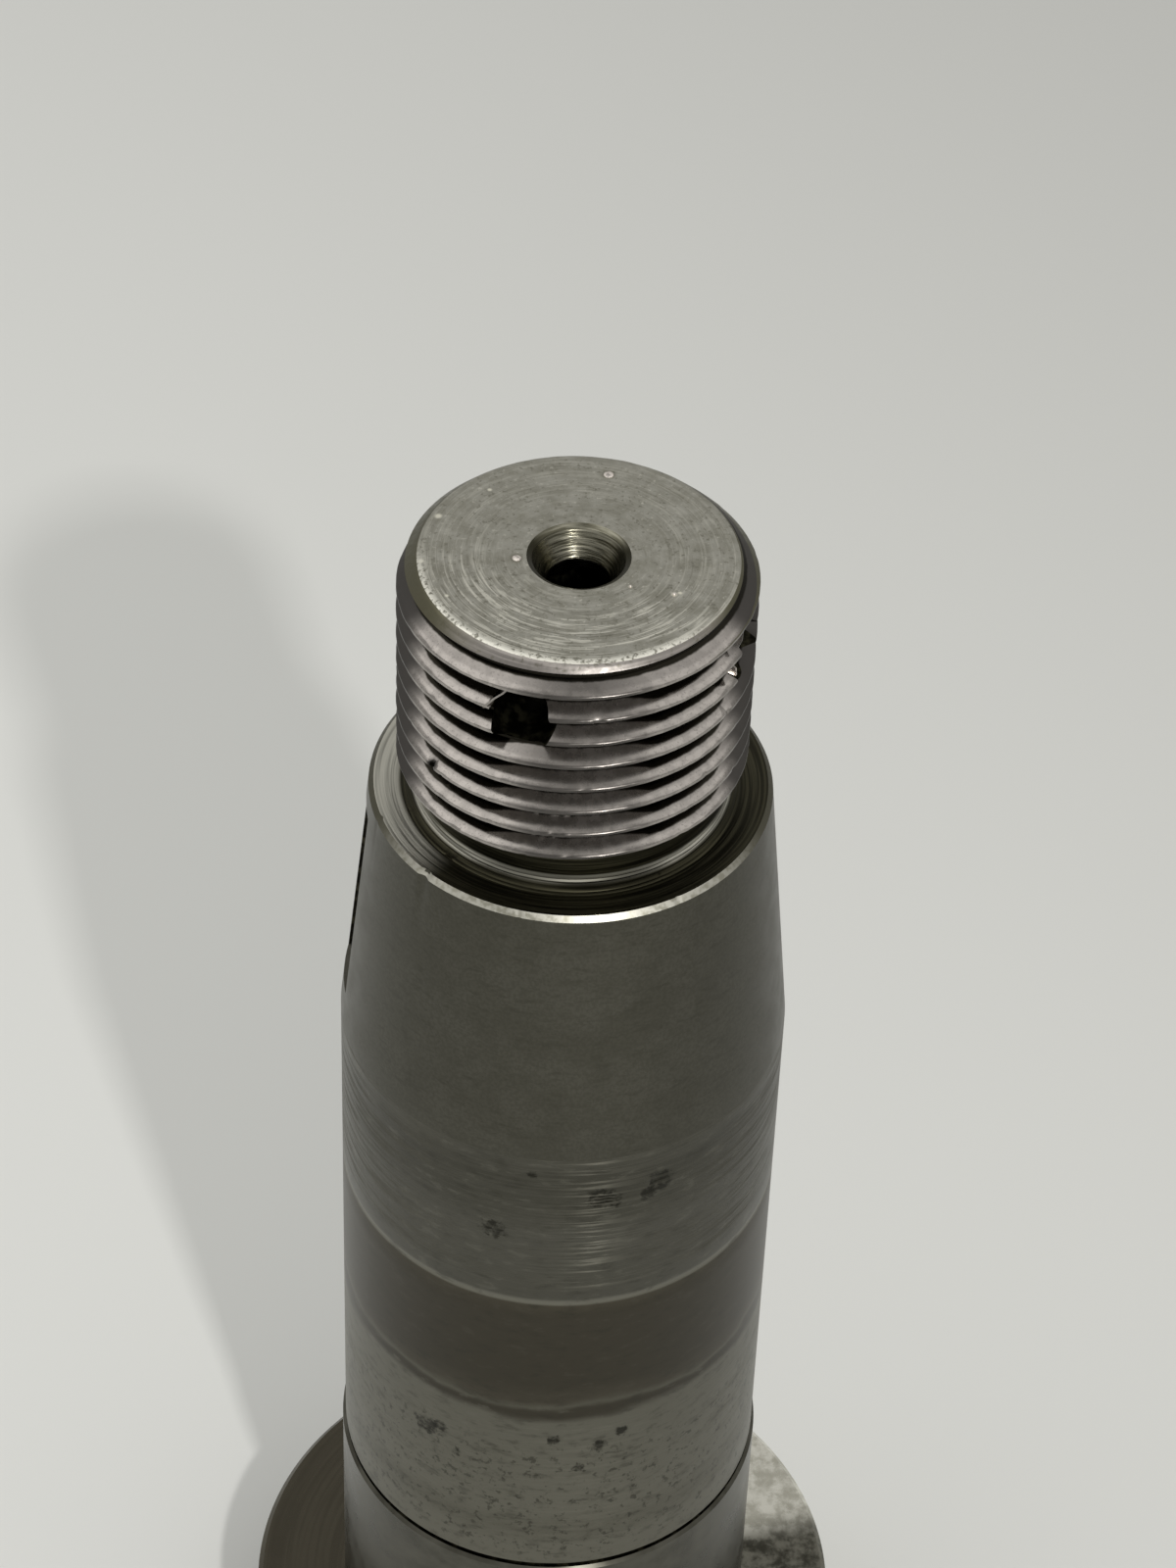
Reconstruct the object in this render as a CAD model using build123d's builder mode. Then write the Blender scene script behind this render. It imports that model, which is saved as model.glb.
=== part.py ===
"""Threaded and tapered shaft end, turned from one piece of steel.

The shaft stands on its flange, with the thread at the top.  The origin is the
centre of the flange's underside and +Z runs up the axis.  Millimetres, degrees.
"""
from build123d import *
from math import cos, radians, sin, sqrt, tan
import os

# Right-hand metric thread, with its lead chamfer and its relief at the shoulder
thread_diameter = 24.0
thread_pitch = 2.0
thread_flank_angle = 30.0
thread_start_angle = 101.6
thread_section_length = 19.85
crest_width_per_pitch = 0.125
groove_depth_per_pitch = 0.6134
lead_chamfer_width = 1.575
lead_chamfer_angle = 45.0
relief_width_per_pitch = 1.7
relief_clearance = 0.075
relief_fillet = 1.1

# Shoulder face round the thread, and the taper down to the shaft
shoulder_width = 1.875
shoulder_chamfer = 0.35
taper_length = 21.05
taper_half_angle = 5.5625

# Shaft, and the slightly larger journal below a groove
shaft_length = 45.55
step_groove_width = 0.45
step_groove_depth = 0.3
journal_length = 21.1
journal_step = 0.225
journal_chamfer = 0.25

# Flange
flange_width = 7.1
flange_thickness = 12.1
flange_edge_break = 0.4

# Centre hole in the end face: a drilled pilot, a 60 degree cone and a lip
centre_pilot_diameter = 4.2
centre_pilot_depth = 12.0
drill_point_angle = 118.0
centre_cone_width = 1.0
centre_cone_angle = 60.0
centre_lip_width = 0.35
centre_lip_angle = 120.0

# Two pin holes drilled across the thread, at right angles to each other
pin_hole_diameter = 4.4
pin_hole_below_face = 5.0
pin_hole_angle = -108.0
pin_hole_count = 2
pin_hole_spacing = 90.0

# Half-moon keyway in the taper, on the -X side
keyway_width = 5.0
keyway_depth = 5.5
keyway_cutter_diameter = 19.0
keyway_below_taper_top = 1.12

# Heights up the axis
journal_base = flange_thickness
journal_top = journal_base + journal_length
taper_base = journal_top + shaft_length
taper_top = taper_base + taper_length
shoulder_height = taper_top + shoulder_chamfer
end_face = shoulder_height + thread_section_length

# Radii, from the thread outwards
thread_radius = thread_diameter / 2
shoulder_radius = thread_radius + shoulder_width
shaft_radius = shoulder_radius + taper_length * tan(radians(taper_half_angle))
step_groove_radius = shaft_radius - step_groove_depth
journal_radius = shaft_radius + journal_step
flange_radius = journal_radius + flange_width

# Thread groove, cut from inside the relief to past the end face
cut_overrun = 0.075 * thread_pitch
flank_slope = tan(radians(thread_flank_angle))
groove_depth = groove_depth_per_pitch * thread_pitch
groove_mouth_width = (1 - crest_width_per_pitch) * thread_pitch
groove_root_width = groove_mouth_width - 2 * groove_depth * flank_slope
cut_mouth_width = groove_mouth_width + 2 * cut_overrun * flank_slope
relief_width = relief_width_per_pitch * thread_pitch
groove_start = shoulder_height + relief_width / 2
groove_rise = end_face + thread_pitch - groove_start
groove_start_angle = thread_start_angle - 360 * (end_face - groove_start) / thread_pitch
blank_top = end_face + 2 * thread_pitch

# Thread relief, and the lead chamfer at the end face
relief_radius = thread_radius - groove_depth - relief_clearance
relief_top = shoulder_height + relief_width
relief_flank_base = relief_top - (thread_radius - relief_radius) * flank_slope
face_radius = thread_radius - lead_chamfer_width
lead_chamfer_base = end_face - lead_chamfer_width / tan(radians(lead_chamfer_angle))

# Centre hole
pilot_radius = centre_pilot_diameter / 2
lip_radius = pilot_radius + centre_cone_width
mouth_radius = lip_radius + centre_lip_width
lip_base = end_face - centre_lip_width / tan(radians(centre_lip_angle / 2))
cone_base = lip_base - centre_cone_width / tan(radians(centre_cone_angle / 2))
pilot_base = end_face - centre_pilot_depth
pilot_tip = pilot_base - pilot_radius / tan(radians(drill_point_angle / 2))

# Keyway: the cutter's axis stands off the taper so that the slot has its depth at mid length
cutter_radius = keyway_cutter_diameter / 2
keyway_half_length = sqrt(cutter_radius**2 - (cutter_radius - keyway_depth) ** 2)
keyway_middle = keyway_below_taper_top + keyway_half_length
taper_radius_at_key = shoulder_radius + keyway_middle * tan(radians(taper_half_angle))
cutter_axis_radius = taper_radius_at_key - keyway_depth + cutter_radius
keyway_height = taper_top - keyway_middle

# Cutter for the thread's groove, from its lower end at height zero
with BuildPart() as thread_groove:
    with BuildLine() as helix:
        Helix(pitch=thread_pitch, height=groove_rise, radius=thread_radius)
    with BuildSketch(Plane(helix.line @ 0, x_dir=(1, 0, 0), z_dir=(0, 1, 0))):
        with BuildLine():
            Polyline(
                (-groove_depth, -groove_root_width / 2),
                (cut_overrun, -cut_mouth_width / 2),
                (cut_overrun, cut_mouth_width / 2),
                (-groove_depth, groove_root_width / 2),
                close=True,
            )
        make_face()
    sweep(path=helix.line, is_frenet=True)

with BuildPart() as tapered_shaft:
    # Turned blank, from the underside up to a thread bar that stands proud of the end face
    with BuildSketch(Plane.XZ):
        with BuildLine():
            Polyline(
                (0, 0),
                (flange_radius - flange_edge_break, 0),
                (flange_radius, flange_edge_break),
                (flange_radius, journal_base - flange_edge_break),
                (flange_radius - flange_edge_break, journal_base),
                (journal_radius, journal_base),
                (journal_radius, journal_top - journal_chamfer),
                (journal_radius - journal_chamfer, journal_top),
                (step_groove_radius, journal_top),
                (step_groove_radius, journal_top + step_groove_width),
                (shaft_radius, journal_top + step_groove_width),
                (shaft_radius, taper_base),
                (shoulder_radius, taper_top),
                (shoulder_radius - shoulder_chamfer, shoulder_height),
                (thread_radius, shoulder_height),
                (thread_radius, blank_top),
                (0, blank_top),
                close=True,
            )
        make_face()
    revolve(axis=Axis.Z)

    # Thread groove, cut past both ends of the finished thread
    with Locations(Location((0, 0, groove_start), (0, 0, groove_start_angle))):
        add(thread_groove.part, mode=Mode.SUBTRACT)

    # End face and lead chamfer, turned after the thread
    with BuildSketch(Plane.XZ):
        with BuildLine():
            Polyline(
                (0, end_face),
                (face_radius, end_face),
                (thread_radius, lead_chamfer_base),
                (thread_radius + cut_overrun, lead_chamfer_base),
                (thread_radius + cut_overrun, blank_top),
                (0, blank_top),
                close=True,
            )
        make_face()
    revolve(axis=Axis.Z, mode=Mode.SUBTRACT)

    # Thread relief, with a fillet into the shoulder
    with BuildSketch(Plane.XZ):
        with BuildLine():
            Polyline(
                (relief_radius + relief_fillet, shoulder_height),
                (thread_radius + cut_overrun, shoulder_height),
                (thread_radius + cut_overrun, relief_top),
                (thread_radius, relief_top),
                (relief_radius, relief_flank_base),
                (relief_radius, shoulder_height + relief_fillet),
            )
            RadiusArc(
                (relief_radius, shoulder_height + relief_fillet),
                (relief_radius + relief_fillet, shoulder_height),
                -relief_fillet,
            )
        make_face()
    revolve(axis=Axis.Z, mode=Mode.SUBTRACT)

    # Centre hole
    with BuildSketch(Plane.XZ):
        with BuildLine():
            Polyline(
                (0, end_face),
                (mouth_radius, end_face),
                (lip_radius, lip_base),
                (pilot_radius, cone_base),
                (pilot_radius, pilot_base),
                (0, pilot_tip),
                close=True,
            )
        make_face()
    revolve(axis=Axis.Z, mode=Mode.SUBTRACT)

    # Pin holes, each drilled right through from one side
    for hole in range(pin_hole_count):
        mouth_angle = radians(pin_hole_angle + hole * pin_hole_spacing)
        mouth_direction = Vector(cos(mouth_angle), sin(mouth_angle), 0)
        mouth_centre = mouth_direction * thread_radius + Vector(0, 0, end_face - pin_hole_below_face)
        with Locations(Plane(mouth_centre, z_dir=mouth_direction)):
            Hole(radius=pin_hole_diameter / 2)

    # Half-moon keyway
    with BuildSketch(Plane.XZ):
        with Locations((-cutter_axis_radius, keyway_height)):
            Circle(cutter_radius)
    extrude(amount=keyway_width / 2, both=True, mode=Mode.SUBTRACT)

tapered_shaft.part.label = "tapered_shaft"
os.makedirs("parts", exist_ok=True)
export_step(tapered_shaft.part, "parts/tapered_shaft.step")
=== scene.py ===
"""Looks for the turned and threaded shaft end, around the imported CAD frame.

Lengths are in millimetres, and are turned into metres when a mesh is made. Only the
floor, the lamps and the camera's clipping are given in metres. Azimuths are in degrees
about the shaft's axis, from the side that the camera sees, positive to its right.
"""
import math

import bmesh
import bpy
from mathutils import Matrix, Vector, noise


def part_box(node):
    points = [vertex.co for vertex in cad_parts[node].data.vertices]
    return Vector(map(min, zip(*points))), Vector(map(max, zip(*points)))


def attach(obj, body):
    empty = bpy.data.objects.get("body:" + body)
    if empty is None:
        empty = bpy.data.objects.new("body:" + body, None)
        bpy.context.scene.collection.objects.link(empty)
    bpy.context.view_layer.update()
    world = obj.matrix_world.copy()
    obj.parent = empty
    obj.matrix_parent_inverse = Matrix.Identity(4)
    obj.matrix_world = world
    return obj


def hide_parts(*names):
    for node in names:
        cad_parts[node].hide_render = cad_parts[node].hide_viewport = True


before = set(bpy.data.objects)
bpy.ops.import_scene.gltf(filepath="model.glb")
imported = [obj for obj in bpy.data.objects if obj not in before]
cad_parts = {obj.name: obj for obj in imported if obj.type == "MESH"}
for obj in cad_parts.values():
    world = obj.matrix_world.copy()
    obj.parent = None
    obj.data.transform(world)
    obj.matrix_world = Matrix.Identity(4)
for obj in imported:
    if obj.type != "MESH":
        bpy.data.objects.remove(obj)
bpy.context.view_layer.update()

NODE = "tapered_shaft"
MM = 0.001

# The part's sizes, heights from the flange's underside
END_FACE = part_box(NODE)[1].z / MM
FLANGE_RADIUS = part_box(NODE)[1].x / MM
FLANGE_TOP = 12.1
FLANGE_EDGE = 0.4
JOURNAL_RADIUS = 16.15
JOURNAL_TOP = 33.2
JOURNAL_CHAMFER = 0.25
STEP_GROOVE_RADIUS = 15.625
STEP_GROOVE_TOP = 33.65
SHAFT_RADIUS = 15.925
LINE_HEIGHT = 63.75
LINE_HALF_WIDTH = 0.2
LINE_DEPTH = 0.04
TAPER_BASE = 78.75
TAPER_TOP = 99.8
SHOULDER_RADIUS = 13.875
SHOULDER_CHAMFER = 0.35
SHOULDER = TAPER_TOP + SHOULDER_CHAMFER
RELIEF_RADIUS = 10.7
RELIEF_FILLET = 1.1
RELIEF_TOP = SHOULDER + 3.4
THREAD_RADIUS = 12.0
FACE_RADIUS = 10.425
PITCH = 2.0
THREAD_START = 101.6
FLANK_SLOPE = math.tan(math.radians(30))
ROOT_RADIUS = THREAD_RADIUS - 0.6134 * PITCH
CREST_WIDTH = PITCH / 8
MOUTH_RADIUS, LIP_RADIUS, PILOT_RADIUS = 3.45, 3.1, 2.1
PILOT_DEPTH = 12.0
PIN_RADIUS = 2.2
PIN_HEIGHT = END_FACE - 5.0
PIN_ANGLES = (-108.0, -18.0)
KEY_WIDTH = 5.0
KEY_CUTTER_RADIUS = 9.5
KEY_AXIS_RADIUS = 18.823
KEY_HEIGHT = 90.063

# The visual end face lies a little low, so that the burrs on it stay within the frame
FACE_DROP = 0.12
FACE_HEIGHT = END_FACE - FACE_DROP
LIP_BASE = FACE_HEIGHT - (MOUTH_RADIUS - LIP_RADIUS) / math.tan(math.radians(60))
CONE_BASE = LIP_BASE - (LIP_RADIUS - PILOT_RADIUS) / math.tan(math.radians(30))
PILOT_BASE = END_FACE - PILOT_DEPTH
PILOT_TIP = PILOT_BASE - PILOT_RADIUS / math.tan(math.radians(59))

# The photograph's view
CAMERA_ANGLE = -91.0
CAMERA_DISTANCE = 224.13
CAMERA_HEIGHT = END_FACE + 185.98
CAMERA_YAW = 0.30
CAMERA_PITCH = 42.636
CAMERA_ROLL = 2.263
LENS = 102.01

# Stretches of the shaft with dents, which get finer rows
LOWER_DENTS = (43, 49)
UPPER_DENTS = (69.8, 76.6)

SEGMENTS = 360
SHARP_ANGLE = 28
FLOOR_SIZE = 6
WORLD_COLOUR = (1.0, 0.99, 0.95, 1)
WORLD_STRENGTH = 0.56


def at(azimuth, radius, height):
    """Point in millimetres at an azimuth from the camera's side."""
    angle = math.radians(CAMERA_ANGLE + azimuth)
    return Vector((radius * math.cos(angle), radius * math.sin(angle), height))


# ---------------------------------------------------------------- mesh helpers
def scene_object(name, data):
    """Object in the scene that shows a mesh, a lamp or a camera."""
    obj = bpy.data.objects.new(name, data)
    bpy.context.scene.collection.objects.link(obj)
    return obj


def mesh_object(name, points, faces):
    """Object from points in millimetres."""
    mesh = bpy.data.meshes.new(name)
    mesh.from_pydata([(x * MM, y * MM, z * MM) for x, y, z in points], [], faces)
    return scene_object(name, mesh)


def spread(start, end, step):
    """Points from start up to, but not including, end, about a step apart."""
    (r0, z0), (r1, z1) = start, end
    count = max(1, round(math.hypot(r1 - r0, z1 - z0) / step))
    return [(r0 + (r1 - r0) * i / count, z0 + (z1 - z0) * i / count) for i in range(count)]


def path_with_rows(corners):
    """Profile points from (radius, height, step to the next corner)."""
    points = []
    for (r0, z0, step), (r1, z1, _) in zip(corners, corners[1:]):
        points += spread((r0, z0), (r1, z1), step)
    points.append(corners[-1][:2])
    return points


def lathe(name, profile, segments=SEGMENTS):
    """Closed solid of revolution about Z, from a profile that starts and ends on the axis."""
    inner = profile[1:-1]
    points = []
    for k in range(segments):
        angle = 2 * math.pi * k / segments
        c, s = math.cos(angle), math.sin(angle)
        points += [(r * c, r * s, z) for r, z in inner]
    n = len(inner)
    low, high = len(points), len(points) + 1
    points += [(0, 0, profile[0][1]), (0, 0, profile[-1][1])]
    faces = []
    for k in range(segments):
        a, b = k * n, (k + 1) % segments * n
        faces += [(a + i, b + i, b + i + 1, a + i + 1) for i in range(n - 1)]
        faces.append((low, b, a))
        faces.append((high, a + n - 1, b + n - 1))
    return mesh_object(name, points, faces)


def arc(centre, radius, start, end, count):
    """Profile points along an arc, angles in degrees."""
    r0, z0 = centre
    angles = [math.radians(start + (end - start) * i / count) for i in range(count + 1)]
    return [(r0 + radius * math.cos(a), z0 + radius * math.sin(a)) for a in angles]


# ---------------------------------------------------------------- the turned body
def shaft_outline():
    """Underside, flange, journal, shaft with its scribed line, taper and shoulder face."""
    return path_with_rows([
        (0, 0, 30),
        (FLANGE_RADIUS - FLANGE_EDGE, 0, 1),
        (FLANGE_RADIUS, FLANGE_EDGE, 6),
        (FLANGE_RADIUS, FLANGE_TOP - FLANGE_EDGE, 1),
        (FLANGE_RADIUS - FLANGE_EDGE, FLANGE_TOP, 1.5),
        (JOURNAL_RADIUS, FLANGE_TOP, 4),
        (JOURNAL_RADIUS, JOURNAL_TOP - JOURNAL_CHAMFER, 1),
        (JOURNAL_RADIUS - JOURNAL_CHAMFER, JOURNAL_TOP, 1),
        (STEP_GROOVE_RADIUS, JOURNAL_TOP, 1),
        (STEP_GROOVE_RADIUS, STEP_GROOVE_TOP, 1),
        (SHAFT_RADIUS - 0.05, STEP_GROOVE_TOP, 1),
        (SHAFT_RADIUS, STEP_GROOVE_TOP + 0.05, 2),
        (SHAFT_RADIUS, LOWER_DENTS[0], 0.6),
        (SHAFT_RADIUS, LOWER_DENTS[1], 2),
        (SHAFT_RADIUS, LINE_HEIGHT - LINE_HALF_WIDTH, 0.2),
        (SHAFT_RADIUS - LINE_DEPTH, LINE_HEIGHT, 0.2),
        (SHAFT_RADIUS, LINE_HEIGHT + LINE_HALF_WIDTH, 2),
        (SHAFT_RADIUS, UPPER_DENTS[0], 0.4),
        (SHAFT_RADIUS, UPPER_DENTS[1], 1.2),
        (SHAFT_RADIUS, TAPER_BASE, 2.5),
        (SHOULDER_RADIUS, TAPER_TOP, 0.12),
        (SHOULDER_RADIUS - SHOULDER_CHAMFER, SHOULDER, 0.25),
        (RELIEF_RADIUS + RELIEF_FILLET, SHOULDER, 1),
    ])


def relief_outline():
    """Fillet and neck below the thread, with the ridges that the tool left."""
    corner = (RELIEF_RADIUS + RELIEF_FILLET, SHOULDER + RELIEF_FILLET)
    ridges = (0.0, -0.05, 0.05, -0.02, 0.05, -0.04, 0.04, -0.05, 0.03, 0.0, 0.03, 0.0, 0.0)
    curve = arc(corner, RELIEF_FILLET, 270, 180, len(ridges) - 1)
    flank_base = RELIEF_TOP - (THREAD_RADIUS - RELIEF_RADIUS) * FLANK_SLOPE
    neck = path_with_rows([
        (RELIEF_RADIUS, SHOULDER + RELIEF_FILLET, 0.4),
        (RELIEF_RADIUS, flank_base, 1),
    ])
    return [(r + ridge, z) for (r, z), ridge in zip(curve, ridges)] + neck[1:]


def end_outline():
    """Thread stretch, left a little large, then lead chamfer, end face and centre hole."""
    oversize = 0.3
    large = THREAD_RADIUS + oversize
    edge = 0.1
    return path_with_rows([
        (large, RELIEF_TOP + oversize * FLANK_SLOPE, 3),
        (large, END_FACE - (large - FACE_RADIUS), 0.3),
        (FACE_RADIUS + FACE_DROP + edge, FACE_HEIGHT - edge, 0.1),
        (FACE_RADIUS + FACE_DROP - edge, FACE_HEIGHT - 0.02, 0.1),
        (FACE_RADIUS + FACE_DROP - 3 * edge, FACE_HEIGHT, 0.35),
        (MOUTH_RADIUS, FACE_HEIGHT, 0.4),
        (LIP_RADIUS, LIP_BASE, 0.25),
        (PILOT_RADIUS, CONE_BASE, 0.6),
        (PILOT_RADIUS, PILOT_BASE, 3),
        (0, PILOT_TIP, 1),
    ])


# ---------------------------------------------------------------- the thread
def thread_profile():
    """(height from the crest's middle, radius) over one pitch, with its corners rounded."""
    half_crest = CREST_WIDTH / 2
    soft = 0.035

    def flank(height):
        return THREAD_RADIUS - (height - half_crest) / FLANK_SLOPE

    crest = [(-half_crest + soft, THREAD_RADIUS), (half_crest - soft, THREAD_RADIUS)]
    down = [(h, flank(h)) for h in (half_crest + soft, 0.35, 0.55, 0.72)]
    down += [(0.82, ROOT_RADIUS + 0.045), (0.93, ROOT_RADIUS + 0.004)]
    up = [(PITCH - h, r) for h, r in reversed(down)]
    return crest + down + up


def thread_column(turn, low, high, base, rows):
    """One column of the thread's surface, and the point of it that each helix row falls on."""
    profile = thread_profile()
    helix = []
    for i in range(rows):
        height, radius = profile[i % len(profile)]
        helix.append((base + PITCH * (i // len(profile) + turn) + height, radius))
    inside = [i for i, (z, r) in enumerate(helix) if low < z < high]
    first, last = inside[0], inside[-1]

    def radius_between(i, height):
        (z0, r0), (z1, r1) = helix[i], helix[i + 1]
        return r0 + (r1 - r0) * (height - z0) / (z1 - z0)

    column = [(radius_between(first - 1, low), low)]
    column += [(helix[i][1], helix[i][0]) for i in inside]
    column.append((radius_between(last, high), high))
    places = [min(max(i - first + 1, 0), len(column) - 1) for i in range(rows)]
    return column, places


def cutter_columns(low, high, outside, base, rows):
    """The cutter's points, and per column its helix rows' points, its lowest and its highest."""
    points, columns = [], []
    for k in range(SEGMENTS):
        turn = k / SEGMENTS
        c, s = math.cos(2 * math.pi * turn), math.sin(2 * math.pi * turn)
        column, places = thread_column(turn, low, high, base, rows)
        start = len(points)
        points += [(r * c, r * s, z) for r, z in column]
        points += [(outside * c, outside * s, high), (outside * c, outside * s, low)]
        columns.append(([start + i for i in places], start, start + len(column) - 1))
    return points, columns


def cutter_faces(columns, rows, per_pitch):
    """Faces between neighbouring columns. The last meets the first a pitch up the helix."""
    faces = []
    for k in range(SEGMENTS):
        here, low_here, high_here = columns[k]
        there, low_there, high_there = columns[(k + 1) % SEGMENTS]
        shift = per_pitch if k == SEGMENTS - 1 else 0
        for i in range(rows - 1):
            top, side = min(i + 1 + shift, rows - 1), min(i + shift, rows - 1)
            corners = list(dict.fromkeys((here[i], here[i + 1], there[top], there[side])))
            if len(corners) > 2:
                faces.append(corners)
        faces.append((high_here, high_here + 1, high_there + 1, high_there))
        faces.append((high_here + 1, high_here + 2, high_there + 2, high_there + 1))
        faces.append((high_here + 2, low_here, low_there, high_there + 2))
    return faces


def groove_cutter():
    """The ring of space outside the thread: helical inside, plain outside, closed at both ends."""
    run_out, clearance = 1.85, 1.2
    low, high = SHOULDER + run_out, END_FACE + clearance
    per_pitch = len(thread_profile())
    rows = (math.ceil((high - low) / PITCH) + 5) * per_pitch
    crest = END_FACE - THREAD_START / 360 * PITCH + PITCH / 2
    base = crest - PITCH * (math.ceil((crest - low) / PITCH) + 2)
    points, columns = cutter_columns(low, high, THREAD_RADIUS + clearance, base, rows)
    return mesh_object("groove_cutter", points, cutter_faces(columns, rows, per_pitch))


# ---------------------------------------------------------------- drilled and milled cuts
def pin_cutter(angle):
    """Drill right across the thread."""
    reach = THREAD_RADIUS + 1
    profile = [(0, -reach), (PIN_RADIUS, -reach), (PIN_RADIUS, reach), (0, reach)]
    obj = lathe("pin_cutter", profile, 64)
    turn = Matrix.Rotation(math.radians(angle), 4, "Z") @ Matrix.Rotation(math.radians(90), 4, "Y")
    obj.data.transform(Matrix.Translation((0, 0, PIN_HEIGHT * MM)) @ turn)
    return obj


def key_cutter():
    """Thin disc that mills the half-moon keyway, on the side towards -X."""
    half = KEY_WIDTH / 2
    profile = [(0, -half), (KEY_CUTTER_RADIUS, -half), (KEY_CUTTER_RADIUS, half), (0, half)]
    obj = lathe("key_cutter", profile, 128)
    upright = Matrix.Rotation(math.radians(90), 4, "X")
    obj.data.transform(Matrix.Translation((-KEY_AXIS_RADIUS * MM, 0, KEY_HEIGHT * MM)) @ upright)
    return obj


def cut(target, cutter):
    """Takes the cutter's shape out of the target and deletes the cutter."""
    modifier = target.modifiers.new("cut", "BOOLEAN")
    modifier.operation = "DIFFERENCE"
    modifier.solver = "EXACT"
    modifier.object = cutter
    graph = bpy.context.evaluated_depsgraph_get()
    result = bpy.data.meshes.new_from_object(target.evaluated_get(graph))
    target.modifiers.clear()
    old = target.data
    target.data = result
    bpy.data.meshes.remove(old)
    bpy.data.objects.remove(cutter)


# ---------------------------------------------------------------- wear
def step_up(value, low, high):
    """Smooth climb from 0 at low to 1 at high."""
    t = min(max((value - low) / (high - low), 0), 1)
    return t * t * (3 - 2 * t)


def ragged(point, scale, seed):
    """Noise from 0 to 1 at a point in millimetres."""
    return 0.5 + 0.5 * noise.noise(point * scale + Vector((seed, 0, 0)))


def crest_wear(point, radius):
    """Radial loss on the thread's crests: a fine waver and a few chips."""
    near_crest = step_up(radius, THREAD_RADIUS - 0.3, THREAD_RADIUS - 0.05)
    if near_crest == 0 or point.z < RELIEF_TOP - 1:
        return 0
    waver = 0.05 * ragged(point, 1.4, 3) ** 2
    chips = 0.12 * step_up(ragged(point, 0.8, 40), 0.7, 0.9)
    return near_crest * (waver + chips)


# The torn patch starts, is full, and ends again at these azimuths and heights
TORN_AZIMUTHS = (-15, -10, -2, 3)
TORN_HEIGHTS = (103.9, 104.6, 107.6)


def torn_patch(point, azimuth, radius):
    """Radial change where the thread's flanks are torn, low on the camera's side."""
    left, full_left, full_right, right = TORN_AZIMUTHS
    low, full_low, high = TORN_HEIGHTS
    if radius < ROOT_RADIUS - 0.01 or not low < point.z < high:
        return 0
    inside = step_up(azimuth, left, full_left) * step_up(-azimuth, -right, -full_right)
    inside *= step_up(point.z, low, full_low)
    return 0.22 * inside * (ragged(point, 3.5, 9) - 0.5)


def pin_distance(point, angle):
    """Distance of a point from the axis of the pin hole at an angle."""
    direction = Vector((math.cos(math.radians(angle)), math.sin(math.radians(angle)), 0))
    away = point - Vector((0, 0, PIN_HEIGHT))
    return (away - direction * away.dot(direction)).length


def pin_mouth_wear(point, radius):
    """Outward change of the thread's surface around the pin holes."""
    if radius < ROOT_RADIUS:
        return 0
    change = 0
    for angle in PIN_ANGLES:
        near = 1 - step_up(pin_distance(point, angle), PIN_RADIUS, PIN_RADIUS + 0.5)
        change += near * 0.06 * (ragged(point, 1.8, 15) - 0.45)
    return change


GOUGE_AZIMUTH, GOUGE_HEIGHT = -51, 107.7

# (azimuth, height, width, depth) of the dents and pits on upright surfaces
DENTS = (
    (GOUGE_AZIMUTH, GOUGE_HEIGHT, 0.35, 0.3), (-46, 107.4, 0.25, 0.2), (58, 112.5, 0.4, 0.25),
    (-44, 99.95, 0.55, 0.22), (-13.3, 99.9, 0.2, 0.08), (33, 100, 0.3, 0.08),
    (-70, 100, 0.35, 0.12), (11.1, 75.3, 0.45, 0.09), (13.1, 74.6, 0.5, 0.09),
    (26, 75.5, 0.5, 0.09), (28, 74.1, 0.4, 0.07), (9.5, 74.7, 0.3, 0.07),
    (-15.3, 70.5, 0.5, 0.07), (-17, 71.5, 0.3, 0.05), (8.6, 45.1, 0.4, 0.09),
    (14.2, 47.4, 0.4, 0.05), (1.8, 48.4, 0.4, 0.05), (-34.6, 46.4, 0.5, 0.06),
)


def dent_depth(point):
    """Radial loss at the dents and pits."""
    depth = 0
    for azimuth, height, width, deepest in DENTS:
        if abs(point.z - height) < 2 * width:
            gap = (point - at(azimuth, math.hypot(point.x, point.y), height)).length
            depth += deepest * (1 - step_up(gap, 0.15 * width, width))
    return depth


FACE_RINGS = (7.15, 7.62, 8.1)
FACE_RING_WIDTH = 0.12


def face_wear(point, radius):
    """Downward change on the end face: a bruised rim and shallow rings."""
    if point.z < FACE_HEIGHT - 0.15:
        return 0
    rim = step_up(radius, FACE_RADIUS - 0.6, FACE_RADIUS - 0.1)
    ring = max(math.exp(-((radius - r) / FACE_RING_WIDTH) ** 2) for r in FACE_RINGS)
    arcs = step_up(ragged(point, 0.12, 60), 0.35, 0.6)
    return -0.05 * rim * ragged(point, 1.1, 30) - 0.02 * ring * arcs


def wear(obj):
    """Moves the surface where the part is worn, torn or dented, from the shaft up."""
    for vertex in obj.data.vertices:
        point = vertex.co / MM
        radius = math.hypot(point.x, point.y)
        if radius < MOUTH_RADIUS + 0.05 or point.z < JOURNAL_TOP + 2:
            continue
        outward = Vector((point.x, point.y, 0)) / radius
        azimuth = math.degrees(math.atan2(point.y, point.x)) - CAMERA_ANGLE
        azimuth = (azimuth + 180) % 360 - 180
        push = torn_patch(point, azimuth, radius) + pin_mouth_wear(point, radius)
        push -= crest_wear(point, radius) + dent_depth(point)
        vertex.co += (outward * push + Vector((0, 0, face_wear(point, radius)))) * MM


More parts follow.
